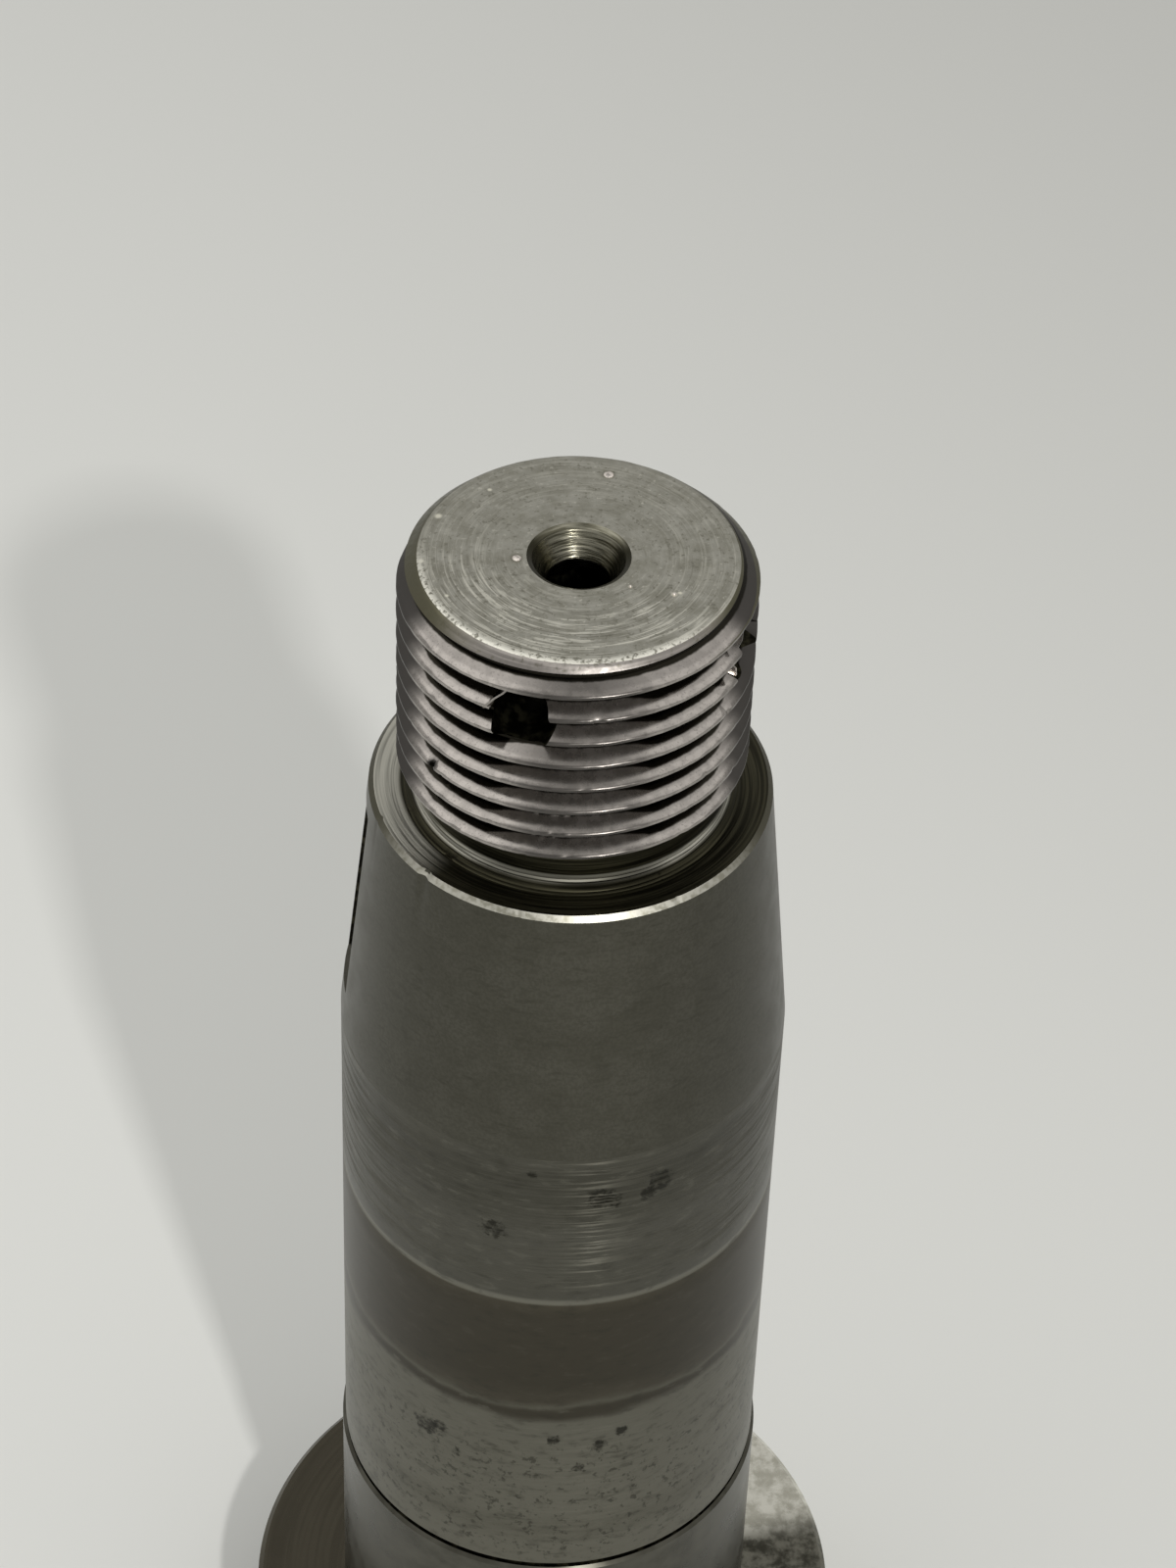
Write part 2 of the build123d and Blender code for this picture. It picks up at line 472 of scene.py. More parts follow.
# ---------------------------------------------------------------- burrs
def burr(path, inner_radius, thickness):
    """Thin torn flap that stands on the thread along a path of (azimuth, radius, height)."""
    points = []
    for azimuth, radius, height in path:
        for r in (inner_radius, radius):
            for side in (-0.5, 0.5):
                turn = math.degrees(side * thickness / r)
                points.append(at(azimuth + turn, r, height))
    faces = [(0, 1, 3, 2)]
    for i in range(len(path) - 1):
        a, b = 4 * i, 4 * i + 4
        faces += [(a, a + 2, b + 2, b), (a + 1, b + 1, b + 3, a + 3)]
        faces += [(a + 2, a + 3, b + 3, b + 2), (a, b, b + 1, a + 1)]
    end = 4 * len(path) - 4
    faces.append((end, end + 2, end + 3, end + 1))
    return mesh_object("burr", points, faces)


def pimple(azimuth, radius, width):
    """Small round burr on the end face."""
    ball = bmesh.new()
    bmesh.ops.create_icosphere(ball, subdivisions=2, radius=1)
    squash = Matrix.Diagonal((width * MM / 2, width * MM / 2, FACE_DROP * MM, 1))
    middle = at(azimuth, radius, FACE_HEIGHT) * MM
    bmesh.ops.transform(ball, matrix=Matrix.Translation(middle) @ squash, verts=ball.verts)
    mesh = bpy.data.meshes.new("pimple")
    ball.to_mesh(mesh)
    ball.free()
    return scene_object("pimple", mesh)


# (path, inner radius, thickness) of the flaps, and (azimuth, radius, width) of the pimples
BURRS = (
    (((-20.5, 11.7, 117.9), (-22.5, 12.0, 117.4), (-25.5, 12.0, 116.7),
      (-28.5, 12.1, 115.8), (-29, 12.0, 115.6)), 10.9, 0.16),
    (((58.5, 11.9, 116.4), (60, 12.1, 115.9), (60.5, 12.1, 115.2)), 11.0, 0.12),
    (((66, 11.9, 118.3), (63.5, 12.05, 117.7), (62.5, 11.9, 117.2)), 11.2, 0.12),
)
LARGE_PIMPLES = ((168.3, 8.78, 0.7), (-83.6, 4.1, 0.62))
SMALL_PIMPLES = ((60.5, 7.2, 0.28), (49.3, 4.48, 0.2))


def make_burrs():
    """All the flaps on the thread and the pimples on the end face."""
    flaps = [burr(*row) for row in BURRS]
    return flaps + [pimple(*row) for row in LARGE_PIMPLES + SMALL_PIMPLES]


def join(target, parts):
    """Merges the parts' meshes into the target's, as separate islands."""
    model = bmesh.new()
    model.from_mesh(target.data)
    for part in parts:
        model.from_mesh(part.data)
        mesh = part.data
        bpy.data.objects.remove(part)
        bpy.data.meshes.remove(mesh)
    model.to_mesh(target.data)
    model.free()


def smooth_by_angle(obj, degrees):
    """Smooth shading, with sharp edges where faces meet at more than an angle."""
    model = bmesh.new()
    model.from_mesh(obj.data)
    bmesh.ops.remove_doubles(model, verts=model.verts, dist=0.002 * MM)
    bmesh.ops.recalc_face_normals(model, faces=model.faces)
    limit = math.radians(degrees)
    for face in model.faces:
        face.smooth = True
    for edge in model.edges:
        edge.smooth = edge.calc_face_angle(0) < limit
    model.to_mesh(obj.data)
    model.free()


def make_shaft():
    """The whole piece as one mesh: turned, drilled, threaded, milled, worn and burred."""
    shaft = lathe("shaft_end", shaft_outline()[:-1] + relief_outline() + end_outline())
    for angle in PIN_ANGLES:
        cut(shaft, pin_cutter(angle))
    cut(shaft, groove_cutter())
    cut(shaft, key_cutter())
    wear(shaft)
    join(shaft, make_burrs())
    smooth_by_angle(shaft, SHARP_ANGLE)
    return shaft


# ---------------------------------------------------------------- materials
class Graph:
    """Node graph of one material, in millimetres of the object's own space."""

    def __init__(self, name, metallic=1.0):
        self.material = bpy.data.materials.new(name)
        self.material.use_nodes = True
        self.tree = self.material.node_tree
        self.shader = self.tree.nodes["Principled BSDF"]
        self.shader.inputs["Metallic"].default_value = metallic
        place = self.node("ShaderNodeTexCoord").outputs["Object"]
        scaled = self.node("ShaderNodeVectorMath", operation="SCALE")
        self.put(scaled.inputs[0], place)
        scaled.inputs["Scale"].default_value = 1 / MM
        self.point = scaled.outputs[0]
        split = self.node("ShaderNodeSeparateXYZ")
        self.put(split.inputs[0], self.point)
        self.x, self.y, self.z = split.outputs
        squares = self.plus(self.times(self.x, self.x), self.times(self.y, self.y))
        self.radius = self.math("SQRT", squares)

    def node(self, kind, **settings):
        node = self.tree.nodes.new(kind)
        for name, value in settings.items():
            setattr(node, name, value)
        return node

    def put(self, socket, value):
        """Links an output to the socket, or sets a constant on it."""
        if isinstance(value, bpy.types.NodeSocket):
            self.tree.links.new(value, socket)
        else:
            socket.default_value = value

    def math(self, operation, *values):
        node = self.node("ShaderNodeMath", operation=operation)
        for socket, value in zip(node.inputs, values):
            self.put(socket, value)
        return node.outputs[0]

    def plus(self, first, second):
        return self.math("ADD", first, second)

    def minus(self, first, second):
        return self.math("SUBTRACT", first, second)

    def times(self, first, second):
        return self.math("MULTIPLY", first, second)

    def level(self, value, low, high, start=0.0, end=1.0):
        """Smooth climb from start, where value is low, to end, where it is high."""
        node = self.node("ShaderNodeMapRange", interpolation_type="SMOOTHSTEP")
        for socket, number in zip(node.inputs, (value, low, high, start, end)):
            self.put(socket, number)
        return node.outputs[0]

    def noise(self, vector, scale, detail=3.0, rough=0.55):
        node = self.node("ShaderNodeTexNoise")
        self.put(node.inputs["Vector"], vector)
        for name, number in (("Scale", scale), ("Detail", detail), ("Roughness", rough)):
            node.inputs[name].default_value = number
        return node.outputs[0]

    def turned(self, along, across, around):
        """Coordinates that run fast along the profile and slowly round the axis."""
        node = self.node("ShaderNodeCombineXYZ")
        self.put(node.inputs[0], self.times(self.math("DIVIDE", self.x, self.radius), around))
        self.put(node.inputs[1], self.times(self.math("DIVIDE", self.y, self.radius), around))
        self.put(node.inputs[2], self.times(along, across))
        return node.outputs[0]

    def outside(self, band):
        """Distance in height outside a band of (middle, half height)."""
        middle, half = band
        return self.minus(self.math("ABSOLUTE", self.minus(self.z, middle)), half)

    def facing(self, azimuth):
        """1 at an azimuth about the axis, 0 a quarter turn away and -1 behind."""
        way = at(azimuth, 1, 0)
        side = self.plus(self.times(self.x, way.x), self.times(self.y, way.y))
        return self.math("DIVIDE", side, self.radius)

    def spot(self, place, size):
        """1 at a point, falling to 0 at a distance of size."""
        gap = self.node("ShaderNodeVectorMath", operation="DISTANCE")
        self.put(gap.inputs[0], self.point)
        gap.inputs[1].default_value = place
        return self.level(gap.outputs["Value"], 0.25 * size, size, 1.0, 0.0)

    def mix(self, factor, first, second):
        """First colour where factor is 0, second where it is 1."""
        node = self.node("ShaderNodeMix", data_type="RGBA")
        self.put(node.inputs[0], factor)
        self.put(node.inputs[6], first)
        self.put(node.inputs[7], second)
        return node.outputs[2]

    def bands(self, value, low, high, stops):
        """Colours by the value's place between low and high."""
        node = self.node("ShaderNodeValToRGB")
        self.put(node.inputs[0], self.math("DIVIDE", self.minus(value, low), high - low))
        ramp = node.color_ramp
        while len(ramp.elements) < len(stops):
            ramp.elements.new(0.5)
        for element, (place, colour) in zip(ramp.elements, stops):
            element.position = (place - low) / (high - low)
            element.color = colour
        return node.outputs[0]

    def bump(self, height, distance, normal=None):
        """Relief of a height from 0 to 1, with a distance in millimetres."""
        node = self.node("ShaderNodeBump")
        self.put(node.inputs["Height"], height)
        node.inputs["Distance"].default_value = distance * MM
        if normal:
            self.put(node.inputs["Normal"], normal)
        return node.outputs[0]

    def finish(self, colour, roughness, normal=None):
        """Puts the three on the shader and gives the material."""
        self.put(self.shader.inputs["Base Color"], colour)
        self.put(self.shader.inputs["Roughness"], roughness)
        if normal is not None:
            self.put(self.shader.inputs["Normal"], normal)
        return self.material

    def brush(self, amount):
        """Stretches highlights along the axis, as turning marks round the part do."""
        tangent = self.node("ShaderNodeTangent", direction_type="RADIAL", axis="Z")
        self.put(self.shader.inputs["Tangent"], tangent.outputs[0])
        self.put(self.shader.inputs["Anisotropic"], amount)
        self.shader.inputs["Anisotropic Rotation"].default_value = 0.25


def grey(value, warmth=0.0):
    """Linear grey, turned towards olive by warmth."""
    return (value, value * (1 - 0.25 * warmth), value * (1 - 1.6 * warmth), 1)


def brown(value):
    """Linear oil brown."""
    return (value, value * 0.9, value * 0.68, 1)


def bare(value):
    """Linear bare steel, a little pink."""
    return (value, value * 0.93, value * 0.87, 1)


# (azimuth, radius, width) of pale nicks on the end face
NICKS = (
    (-84, 10.38, 0.3), (60.5, 7.2, 0.3), (63, 7.45, 0.2), (-137, 8.95, 0.22), (-111, 10.06, 0.35),
    (49.3, 4.48, 0.2), (-62, 9.6, 0.2),
)


def face_steel():
    """End face: dull and mottled, with turned rings painted lighter and darker on the camera's
    side as highlight and shade, pale nicks, painted shadow round the large pimples, and a worn rim
    painted pale in front as a highlight.
    """
    g = Graph("face_steel")
    mottle = g.noise(g.point, 0.7, 4, 0.65)
    fine = g.noise(g.point, 3.2, 3, 0.6)
    rings = g.noise(g.turned(g.radius, 4, 2.2), 1, 3, 0.6)
    colour = g.mix(g.level(mottle, 0.32, 0.68), grey(0.305, 0.11), grey(0.39, 0.08))
    # Painted highlight and shade: the turned rings and lines are painted lighter and darker,
    # mostly on the camera's side.
    arcs = g.times(g.level(g.facing(-10), 0, 0.8, 0.25, 1), g.level(g.radius, 5, 7, 0.3, 1))
    colour = g.mix(g.times(arcs, g.level(rings, 0.52, 0.64, 0, 0.9)), colour, grey(0.68, 0.08))
    colour = g.mix(g.level(rings, 0.4, 0.28, 0, 0.4), colour, grey(0.2, 0.14))
    lines = g.noise(g.turned(g.radius, 9, 1.6), 1, 2)
    colour = g.mix(g.times(arcs, g.level(lines, 0.57, 0.66, 0, 0.8)), colour, grey(0.72, 0.08))
    colour = g.mix(g.times(arcs, g.level(lines, 0.4, 0.32, 0, 0.6)), colour, grey(0.16, 0.14))
    colour = g.mix(g.level(fine, 0.6, 0.78, 0, 0.6), colour, grey(0.7, 0.08))
    colour = g.mix(g.level(fine, 0.44, 0.3, 0, 0.6), colour, grey(0.16, 0.16))
    # Painted shadow: a dark spot round each large pimple.
    for azimuth, radius, _ in LARGE_PIMPLES:
        colour = g.mix(g.spot(at(azimuth, radius, FACE_HEIGHT), 0.65), colour, grey(0.2, 0.15))
    for azimuth, radius, width in NICKS:
        colour = g.mix(g.spot(at(azimuth, radius, FACE_HEIGHT), width), colour, grey(0.8, 0.1))
    # Painted highlight: the worn rim is painted pale on the camera's side.
    outer = g.level(g.radius, FACE_RADIUS - 0.4, FACE_RADIUS)
    rim = g.times(outer, g.level(g.facing(-20), 0.2, 0.6))
    colour = g.mix(g.times(rim, g.level(fine, 0.4, 0.5)), colour, grey(0.75, 0.07))
    normal = g.bump(fine, 0.02, g.bump(rings, 0.028))
    return g.finish(colour, g.level(mottle, 0.3, 0.7, 0.36, 0.5), normal)


def chamfer_steel():
    """Lead chamfer: bare, with brown painted shade towards the sides and back."""
    g = Graph("chamfer_steel")
    rings = g.noise(g.turned(g.z, 6, 1.8), 1, 2)
    fine = g.noise(g.point, 2.5, 3)
    colour = g.mix(g.level(rings, 0.35, 0.65), bare(0.21), bare(0.33))
    colour = g.mix(g.level(fine, 0.45, 0.3, 0, 0.6), colour, grey(0.14, 0.2))
    # Painted shade: darker and browner towards the sides and back.
    colour = g.mix(g.level(g.facing(5), 0.88, 0.45), colour, grey(0.12, 0.22))
    return g.finish(colour, g.level(fine, 0.3, 0.7, 0.3, 0.45), g.bump(fine, 0.012))


# Azimuth of the stain at the mouth of the pin hole on the camera's right
STAIN_AZIMUTH = 76


def root_oil_and_shade(g, grain):
    """1 in the roots, where oil and painted shade darken them, reaching higher up the flanks as
    painted shade at the camera's left and right and in the first groove.
    """
    side = g.facing(0)
    shade_reach = g.math("MINIMUM", g.level(side, 0.97, 0.86), g.level(side, 0.35, 0.6, 0.3, 1))
    shade_reach = g.math("MAXIMUM", shade_reach, g.level(g.z, END_FACE - 2.2, END_FACE - 1.9, 0, 0.35))
    shade_reach = g.math("MINIMUM", shade_reach, g.level(g.z, END_FACE - 3.6, END_FACE - 2.8, 1, 0.35))
    depth = g.minus(g.radius, g.times(shade_reach, 0.55))
    depth = g.plus(depth, g.times(g.minus(grain, 0.5), 0.15))
    return g.level(depth, 10.95, 10.82)


def thread_steel():
    """Thread: bare flanks, with painted shade on the deeper flanks, in front, at the sides and
    behind, and oil and painted shade in the roots.
    """
    g = Graph("thread_steel")
    grain = g.noise(g.point, 1.3, 2)
    fine = g.noise(g.point, 6, 2)
    colour = g.mix(g.level(grain, 0.35, 0.65), bare(0.3), bare(0.38))
    colour = g.mix(g.level(fine, 0.45, 0.3, 0, 0.5), colour, bare(0.16))
    side = g.facing(0)
    front = g.level(g.facing(3), 0.9, 0.99)
    dull = g.math("MINIMUM", g.level(side, 0.55, 0.35), g.level(side, -0.9, -0.2, 0.5, 1))
    # Painted shade: the deeper flanks are darker.
    colour = g.mix(g.level(g.radius, 11.7, 11.5, 0, 0.45), colour, bare(0.16))
    # Painted shade: darker in front, and darker still on the crests there.
    colour = g.mix(g.times(front, 0.65), colour, bare(0.14))
    colour = g.mix(g.times(front, g.level(g.radius, 11.85, 11.93)), colour, bare(0.09))
    # Painted shade: darker at the sides and behind.
    colour = g.mix(dull, colour, bare(0.075))
    # Oil and painted shade in the roots.
    colour = g.mix(root_oil_and_shade(g, grain), colour, brown(0.015))
    # Painted shade: the gouge is painted near black.
    gouge = at(GOUGE_AZIMUTH, THREAD_RADIUS - 0.1, GOUGE_HEIGHT)
    colour = g.mix(g.spot(gouge, 0.7), colour, brown(0.004))
    stain = at(STAIN_AZIMUTH, THREAD_RADIUS, PIN_HEIGHT)
    colour = g.mix(g.spot(stain, 2.6), colour, brown(0.02))
    worn = g.plus(g.times(dull, 0.3), g.times(front, 0.14))
    roughness = g.plus(g.level(grain, 0.3, 0.7, 0.1, 0.16), worn)
    return g.finish(colour, roughness, g.bump(fine, 0.0008))


# (middle, half height) of the ring on the relief's ridged fillet where highlights are painted
RIDGE_HIGHLIGHT_BAND = (100.85, 0.2)


def relief_steel():
    """Thread relief and shoulder face: oily and brown, with painted highlights on the ridges at
    the sides of the neck and painted light on the shoulder face at the camera's left.
    """
    g = Graph("relief_steel")
    rings = g.noise(g.turned(g.plus(g.z, g.radius), 6, 1.2), 1, 3)
    colour = g.mix(g.level(rings, 0.4, 0.65), grey(0.022, 0.25), grey(0.06, 0.25))
    # Painted highlight: pale lines on the ridges at the sides of the neck.
    neck = g.times(g.level(g.radius, 11.45, 11.25), g.level(g.outside(RIDGE_HIGHLIGHT_BAND), 0.2, 0))
    sides = g.level(g.facing(0), 0.95, 0.75, 0.3, 1)
    ridge_highlight = g.times(neck, g.times(sides, g.level(rings, 0.4, 0.6, 0.3, 1)))
    colour = g.mix(ridge_highlight, colour, grey(0.7, 0.08))
    # Painted light: the outer shoulder face is paler on the camera's left.
    left_light = g.times(g.level(g.facing(-85), 0.7, 0.88), g.level(g.radius, 11.6, 12.0))
    colour = g.mix(g.times(left_light, g.level(rings, 0.3, 0.6, 0.5, 1)), colour, grey(0.55, 0.08))
    return g.finish(colour, g.level(rings, 0.3, 0.7, 0.3, 0.5), g.bump(rings, 0.03))


def edge_steel():
    """Bare chamfer round the shoulder, with painted shade at the sides and back."""
    g = Graph("edge_steel")
    fine = g.noise(g.point, 2.2, 2)
    colour = g.mix(g.level(fine, 0.35, 0.6), grey(0.34, 0.12), grey(0.48, 0.08))
    # Painted shade: darker at the sides and back.
    colour = g.mix(g.level(g.facing(0), 0.8, 0.3), colour, grey(0.1, 0.18))
    return g.finish(colour, g.level(fine, 0.3, 0.7, 0.34, 0.48), g.bump(fine, 0.006))


def taper_steel():
    """Taper: dark, smooth and faintly mottled, with fine streaks round it."""
    g = Graph("taper_steel")
    mottle = g.noise(g.point, 0.33, 3, 0.6)
    streak = g.noise(g.turned(g.z, 2, 9), 1, 3, 0.6)
    fine = g.noise(g.point, 4, 2)
    colour = g.mix(g.level(mottle, 0.35, 0.65), grey(0.077, 0.14), grey(0.092, 0.13))
    colour = g.mix(g.level(streak, 0.52, 0.7, 0, 0.4), colour, grey(0.05, 0.16))
    colour = g.mix(g.level(fine, 0.35, 0.65, 0, 0.4), colour, grey(0.055, 0.15))
    g.brush(0.4)
    return g.finish(colour, g.level(mottle, 0.3, 0.7, 0.34, 0.42), g.bump(streak, 0.004))


# (azimuth, height, width) of stained and pitted places on the shaft
STAINS = (
    (11.5, 74.8, 1.3), (14.5, 74.4, 1.0), (27, 75.3, 1.3), (24, 74.4, 0.9), (-16, 70.9, 1.2),
    (-34.6, 46.4, 1.5), (-30, 47.0, 0.9), (8.6, 45.1, 0.6), (14.2, 47.4, 0.8), (1.8, 48.4, 0.7),
    (-25, 44.8, 0.6), (20, 48.6, 0.7), (-6, 77.2, 0.5),
)


# (middle, half height) of the shaft's bands
LINE_BAND = (63.9, 0.3)
OILY_BAND = (58, 5.5)
SPECKLED_BAND = (41, 5)
UPPER_TURNED_BAND = (73, 7)
LOWER_TURNED_BAND = (43, 6)


def shaft_bands(g, drift):
    """Base colours of the shaft by height, with edges that waver by the drift."""
    height = g.plus(g.z, drift)
    return g.bands(height, STEP_GROOVE_TOP, TAPER_BASE + 2, (
        (33.7, grey(0.15, 0.13)), (36.0, grey(0.15, 0.13)), (38.0, grey(0.12, 0.14)),
        (40.0, grey(0.145, 0.13)), (50.6, grey(0.13, 0.13)), (51.4, brown(0.05)),
        (52.0, brown(0.052)), (52.4, grey(0.1, 0.15)), (53.0, brown(0.065)),
        (54.5, brown(0.052)), (62.4, brown(0.056)), (63.45, brown(0.07)),
        (63.65, grey(0.17, 0.12)), (63.95, grey(0.17, 0.12)), (64.2, grey(0.082, 0.13)),
        (71.0, grey(0.087, 0.12)), (73.3, grey(0.068, 0.14)), (77.0, grey(0.064, 0.14)),
        (78.2, grey(0.082, 0.13)), (79.5, grey(0.08, 0.14))))


def add_stains(g, colour, speckle):
    """The colour with ragged dark stains at the pitted places."""
    uneven = g.level(speckle, 0.3, 0.7, -0.4, 0.4)
    for azimuth, height, width in STAINS:
        near = g.plus(g.spot(at(azimuth, SHAFT_RADIUS, height), 1.3 * width), uneven)
        colour = g.mix(g.level(near, 0.4, 1.1, 0, 0.9), colour, grey(0.016, 0.2))
    return colour


def turned_bands(g):
    """1 where turning marks show on the shaft, less on the lower band."""
    upper = g.level(g.outside(UPPER_TURNED_BAND), 1.5, 0)
    lower = g.level(g.outside(LOWER_TURNED_BAND), 2, 0, 0, 0.6)
    return g.math("MAXIMUM", upper, lower)


def shaft_steel():
    """Shaft: grey bands with a dark brown one between, stained, specked and turned."""
    g = Graph("shaft_steel")
    slow = g.noise(g.turned(g.z, 0.3, 2.5), 1, 2)
    waver = g.level(g.outside(LINE_BAND), 0, 3, 0.15, 2.2)
    colour = shaft_bands(g, g.times(g.minus(slow, 0.5), waver))
    grain = g.noise(g.turned(g.z, 1.3, 9), 1, 4, 0.62)
    colour = g.mix(g.level(grain, 0.5, 0.72, 0, 0.5), colour, grey(0.04, 0.16))
    pale = g.times(g.level(grain, 0.45, 0.3), g.level(g.outside(OILY_BAND), 0, 1, 0.08, 0.35))
    colour = g.mix(pale, colour, grey(0.16, 0.12))
    speckle = g.noise(g.point, 1.6, 3, 0.65)
    specks = g.times(g.level(speckle, 0.55, 0.66), g.level(g.outside(SPECKLED_BAND), 3, 0, 0, 0.7))
    colour = g.mix(specks, colour, grey(0.04, 0.16))
    colour = add_stains(g, colour, speckle)
    lines = g.noise(g.turned(g.z, 4, 2), 1, 3)
    turned = turned_bands(g)
    cuts = g.times(turned, g.level(lines, 0.47, 0.58))
    g.brush(g.level(cuts, 0, 1, 0.4, 1))
    colour = g.mix(g.level(cuts, 0, 1, 0, 0.2), colour, grey(0.2, 0.12))
    normal = g.bump(g.times(lines, turned), 0.02)
    return g.finish(colour, g.level(cuts, 0, 1, 0.36, 0.37), normal)


def journal_steel():
    """Journal: smooth ground steel with a faint mottle."""
    g = Graph("journal_steel")
    mottle = g.noise(g.turned(g.z, 0.5, 6), 1, 3)
    colour = g.mix(g.level(mottle, 0.3, 0.7), grey(0.068, 0.14), grey(0.112, 0.12))
    g.brush(0.5)
    return g.finish(colour, g.level(mottle, 0.3, 0.7, 0.26, 0.34), g.bump(mottle, 0.004))


def flange_steel():
    """Flange: dark brown on the left and front as oil and painted dark reflection, painted shade
    towards the front on the right, and a painted bright reflection at the back right.
    """
    g = Graph("flange_steel")
    mottle = g.noise(g.point, 0.7, 4, 0.62)
    rings = g.noise(g.turned(g.radius, 3, 1.5), 1, 2)
    # Painted reflection: bright at the back right, dark towards the front on the right.
    painted_reflection = g.mix(g.level(mottle, 0.36, 0.64), grey(0.8, 0.07), grey(0.5, 0.1))
    stained = g.mix(g.level(mottle, 0.36, 0.64), grey(0.18, 0.12), grey(0.05, 0.15))
    painted_reflection = g.mix(g.level(g.facing(130), 0.87, 0.95), stained, painted_reflection)
    # Oil brown with painted dark reflection on the left and front.
    oily = g.mix(g.level(rings, 0.35, 0.65), brown(0.072), brown(0.086))
    colour = g.mix(g.level(g.facing(115), 0.2, 0.75), oily, painted_reflection)
    return g.finish(colour, g.level(mottle, 0.3, 0.7, 0.16, 0.32), g.bump(rings, 0.008))


def hole_steel():
    """Centre hole: drilled cone, bare on its far side, with painted shade on its sides and near
    side, over a pilot painted black as shade.
    """
    g = Graph("hole_steel")
    rings = g.noise(g.turned(g.z, 6, 1.0), 1, 3)
    colour = g.mix(g.level(rings, 0.35, 0.65), grey(0.09, 0.2), grey(0.3, 0.14))
    # Painted shade: darker on the sides and near side, away from the far wall.
    colour = g.mix(g.level(g.facing(175), 0.85, 0.3), colour, grey(0.035, 0.25))
    # Painted shade: the pilot below the cone is painted black.
    colour = g.mix(g.level(g.z, CONE_BASE, CONE_BASE - 0.25), colour, grey(0.012, 0.15))
    return g.finish(colour, g.level(rings, 0.3, 0.7, 0.2, 0.34), g.bump(rings, 0.05))


def cut_shade_steel():
    """Pin holes, keyway and step groove: painted shade, dark and grainy."""
    g = Graph("cut_shade_steel")
    grain = g.noise(g.point, 1.2, 3)
    # Painted shade: the cuts are painted dark.
    colour = g.mix(g.level(grain, 0.45, 0.7), grey(0.015, 0.2), grey(0.09, 0.25))
    return g.finish(colour, g.level(grain, 0.3, 0.7, 0.35, 0.5), g.bump(grain, 0.03))


def burr_steel():
    """Bare torn metal of the burrs."""
    g = Graph("burr_steel")
    fine = g.noise(g.point, 4, 2)
    colour = g.mix(g.level(fine, 0.35, 0.6), bare(0.4), bare(0.75))
    return g.finish(colour, g.level(fine, 0.3, 0.7, 0.42, 0.55), g.bump(fine, 0.01))


def floor_look():
    """Pale floor with painted shade that darkens it a little towards the far right."""
    g = Graph("pale_floor", metallic=0.0)
    across, away = g.facing(90), g.facing(180)
    far = g.times(g.radius, g.plus(across, g.times(away, 0.5)))
    # Painted shade: the floor darkens towards the far right.
    colour = g.mix(g.level(far, -80, 320), (0.74, 0.75, 0.735, 1), (0.54, 0.545, 0.53, 1))
    return g.finish(colour, 0.92)


LOOKS = {
    "face": face_steel, "chamfer": chamfer_steel, "thread": thread_steel, "relief": relief_steel,
    "edge": edge_steel, "taper": taper_steel, "shaft": shaft_steel, "journal": journal_steel,
    "flange": flange_steel, "hole": hole_steel, "cut": cut_shade_steel, "burr": burr_steel,
}


def surface_radius(z):
    """Radius of the shaft or the taper at a height."""
    slope = (SHAFT_RADIUS - SHOULDER_RADIUS) / (TAPER_TOP - TAPER_BASE)
    return SHAFT_RADIUS - max(0, z - TAPER_BASE) * slope


def in_keyway(centre, normal):
    """Whether a face is a wall or the floor of the keyway."""
    if centre.x > -5 or abs(centre.y) > KEY_WIDTH / 2 + 0.01:
        return False
    sunken = math.hypot(centre.x, centre.y) < surface_radius(centre.z) - 0.25
    return sunken or abs(normal.y) > 0.9


def region(centre, normal):
    """Name of the look at a face's middle, in millimetres."""
    radius, z = math.hypot(centre.x, centre.y), centre.z
    if z > FACE_HEIGHT + 0.01 or (radius > THREAD_RADIUS + 0.06 and z > RELIEF_TOP):
        return "burr"
    if z > PILOT_TIP - 1 and radius < MOUTH_RADIUS:
        return "hole"
    if z > FACE_HEIGHT - 0.14 and radius < FACE_RADIUS + FACE_DROP + 0.08:
        return "face"
    if 0.4 < normal.z < 0.82 and abs(radius - FACE_RADIUS - (END_FACE - z)) < 0.15:
        return "chamfer"
    if any(pin_distance(centre, angle) < PIN_RADIUS + 0.01 for angle in PIN_ANGLES):
        return "cut"
    if z > RELIEF_TOP - 0.7:
        return "thread"
    if z > SHOULDER - 0.02:
        return "relief"
    if z > TAPER_TOP - 0.02 and radius > SHOULDER_RADIUS - SHOULDER_CHAMFER - 0.05:
        return "edge"
    if z > STEP_GROOVE_TOP + 0.02 and in_keyway(centre, normal):
        return "cut"
    if z > STEP_GROOVE_TOP + 0.02:
        return "taper" if z > TAPER_BASE else "shaft"
    if z > JOURNAL_TOP - 0.02:
        return "cut"
    if z > FLANGE_TOP - 0.02 and radius < JOURNAL_RADIUS + 0.01:
        return "journal"
    return "flange"


def paint(obj):
    """Gives every face the look of its region."""
    names = list(LOOKS)
    for name in names:
        obj.data.materials.append(LOOKS[name]())
    for face in obj.data.polygons:
        face.material_index = names.index(region(face.center / MM, face.normal))


# ---------------------------------------------------------------- build
shaft = make_shaft()
paint(shaft)
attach(shaft, "root")
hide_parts(NODE)

bpy.ops.mesh.primitive_plane_add(size=FLOOR_SIZE)
floor = bpy.context.object
floor.name = "floor"
floor.data.materials.append(floor_look())


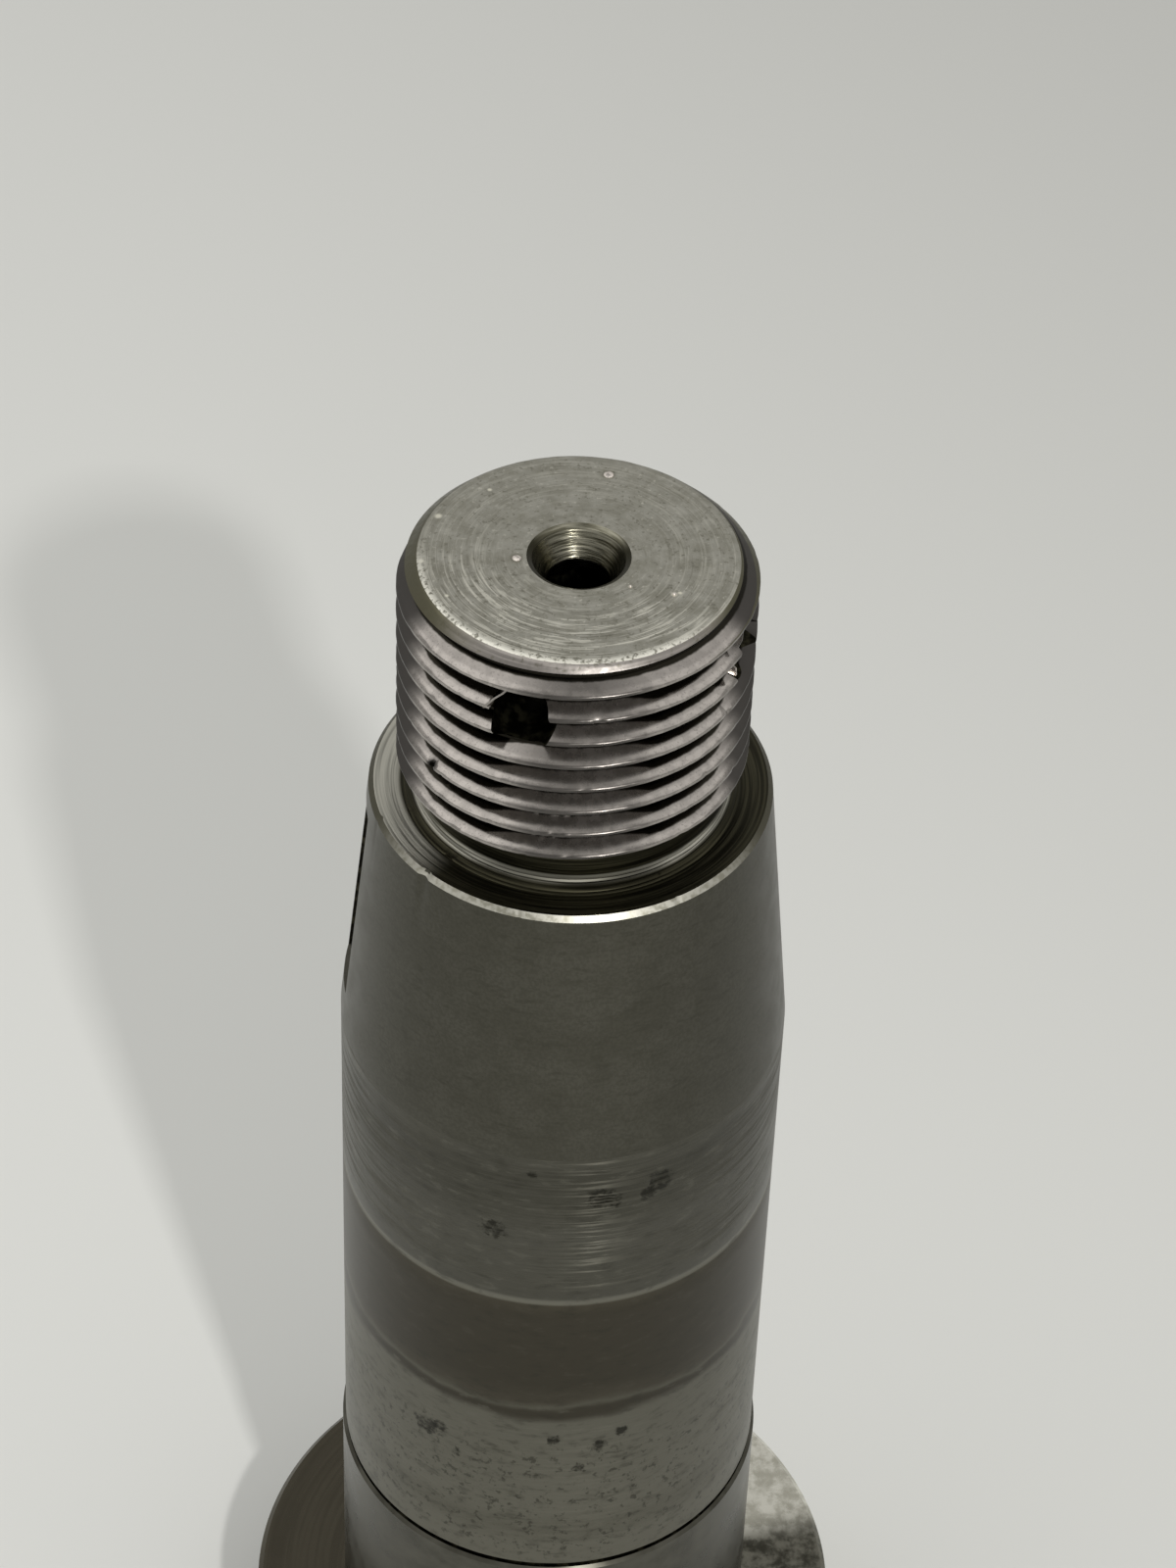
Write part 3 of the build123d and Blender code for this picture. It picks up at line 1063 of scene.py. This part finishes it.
# ---------------------------------------------------------------- light and camera
def area_light(name, azimuth, elevation, distance, size, power, colour):
    """Square lamp aimed at the middle of the part, its distance and size in metres."""
    aim = Vector((0, 0, 0.5 * END_FACE * MM))
    rise = math.radians(elevation)
    away = at(azimuth, math.cos(rise), math.sin(rise))
    light = bpy.data.lights.new(name, "AREA")
    light.shape = "SQUARE"
    light.size = size
    light.energy = power
    light.color = colour
    obj = scene_object(name, light)
    obj.location = aim + away * distance
    obj.rotation_euler = (-away).to_track_quat("-Z", "Y").to_euler()


def make_lights():
    """Small hard lamp in front, a broad soft one at each side, and an even backdrop."""
    area_light("key", azimuth=19, elevation=43, distance=0.7, size=0.026, power=1.95,
               colour=(1.0, 0.98, 0.95))
    area_light("left", azimuth=-95, elevation=60, distance=0.5, size=0.4, power=0.42,
               colour=(1.0, 0.99, 0.97))
    area_light("right", azimuth=95, elevation=60, distance=0.5, size=0.4, power=0.25,
               colour=(1.0, 0.99, 0.97))
    world = bpy.data.worlds.new("studio")
    bpy.context.scene.world = world
    world.use_nodes = True
    backdrop = world.node_tree.nodes["Background"]
    backdrop.inputs["Color"].default_value = WORLD_COLOUR
    backdrop.inputs["Strength"].default_value = WORLD_STRENGTH


def make_camera():
    """Camera at the photograph's viewpoint."""
    camera = bpy.data.cameras.new("camera")
    camera.sensor_fit = "VERTICAL"
    camera.sensor_height = 36
    camera.lens = LENS
    camera.clip_start = 0.01
    obj = scene_object("camera", camera)
    place = at(0, CAMERA_DISTANCE, CAMERA_HEIGHT) * MM
    turn = Matrix.Rotation(math.radians(CAMERA_ANGLE + 90), 4, "Z")
    turn @= Matrix.Rotation(math.radians(-CAMERA_YAW), 4, "Z")
    turn @= Matrix.Rotation(math.radians(90 - CAMERA_PITCH), 4, "X")
    turn @= Matrix.Rotation(math.radians(CAMERA_ROLL), 4, "Z")
    obj.matrix_world = Matrix.Translation(place) @ turn
    bpy.context.scene.camera = obj


make_lights()
make_camera()
bpy.context.scene.view_settings.view_transform = "Standard"
